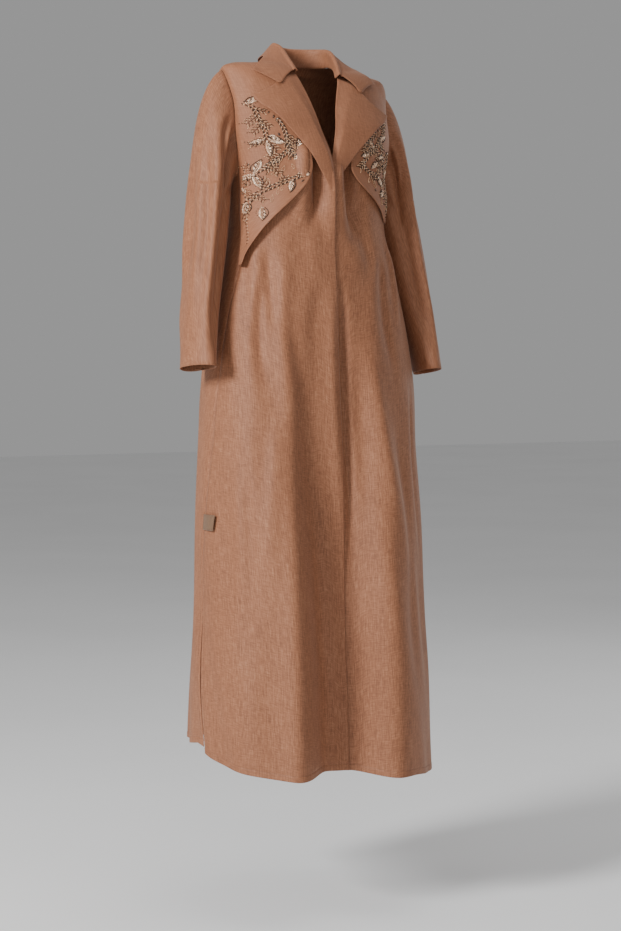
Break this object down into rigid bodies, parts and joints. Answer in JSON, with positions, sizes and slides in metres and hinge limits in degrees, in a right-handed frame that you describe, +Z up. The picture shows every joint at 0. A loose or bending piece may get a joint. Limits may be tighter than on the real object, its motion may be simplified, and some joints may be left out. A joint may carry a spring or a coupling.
{
  "type": "abaya",
  "caption": "Long open-fronted A-line abaya in linen-look cloth, with notched collar, wide lapels, loose pointed beaded bibs, set-in sleeves and side slits, in its worn pose.",
  "frame": {"origin": "between the shoulders at the height of the neck seam, where the wearer's neck holds the garment", "axes": "+Z up along the wearer, +X to the wearer's left, the front opening faces -Y"},
  "size_m": [0.5304, 0.4633, 1.3588],
  "materials": {
    "linen_cloth": "matt slub weave, mocha brown",
    "tab_cloth": "plain olive-tan tape",
    "thread": "sewing thread, tone on tone",
    "bright_beads": "champagne sequins and glass beads",
    "dark_beads": "dark bronze seed beads"
  },
  "bodies": {
    "root": {"front_right": "linen_cloth", "front_left": "linen_cloth", "back": "linen_cloth", "sleeve_right": "linen_cloth", "sleeve_left": "linen_cloth", "lapel_right": "linen_cloth", "lapel_left": "linen_cloth", "bib_right": "linen_cloth", "bib_left": "linen_cloth", "collar": "linen_cloth", "side_tab": "tab_cloth"}
  },
  "joints": []
}
